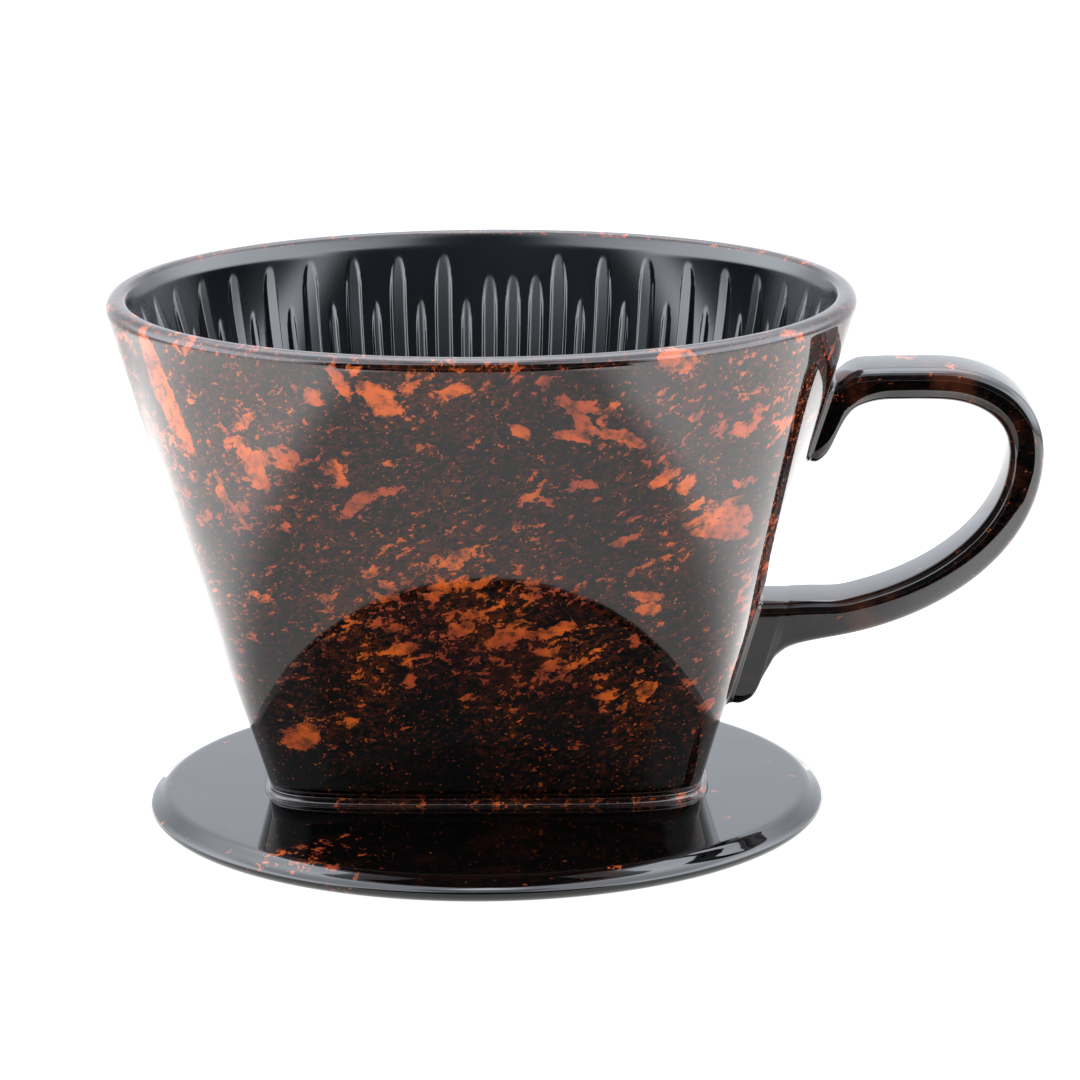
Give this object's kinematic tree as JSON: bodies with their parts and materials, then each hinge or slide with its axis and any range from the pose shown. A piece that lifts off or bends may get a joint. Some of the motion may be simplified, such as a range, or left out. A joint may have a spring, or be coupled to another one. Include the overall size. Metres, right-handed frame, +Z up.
{
  "type": "pour over coffee dripper",
  "caption": "Glazed ceramic pour-over dripper: a wedge-shaped filter cup with inner ribs and drain holes, on a round base plate with a locating ring, with a strap handle.",
  "frame": {"origin": "on the surface the dripper stands on, under the middle of the whole object's box, handle included; the cup's own axis is the vertical line at x = -15.2 mm", "axes": "+X from the cup towards the handle, +Y to the back, +Z up through the cup's mouth"},
  "size_m": [0.15, 0.1102, 0.0898],
  "materials": {
    "cup_glaze": "gloss black glaze with fine rust-orange splashes",
    "plate_glaze": "gloss black glaze with fine rust-orange splashes",
    "ring_glaze": "black glaze, a little duller on the standing edge",
    "handle_glaze": "gloss black glaze with fine rust-orange splashes",
    "slip_glaze": "gloss glaze over a slip joint, thin and brown at the edges"
  },
  "bodies": {
    "root": {"cup_body": "cup_glaze", "base_plate": "plate_glaze", "locating_ring": "ring_glaze", "handle": "handle_glaze", "foot_slip_bead": "slip_glaze", "upper_handle_slip": "slip_glaze", "lower_handle_slip": "slip_glaze"}
  },
  "joints": []
}
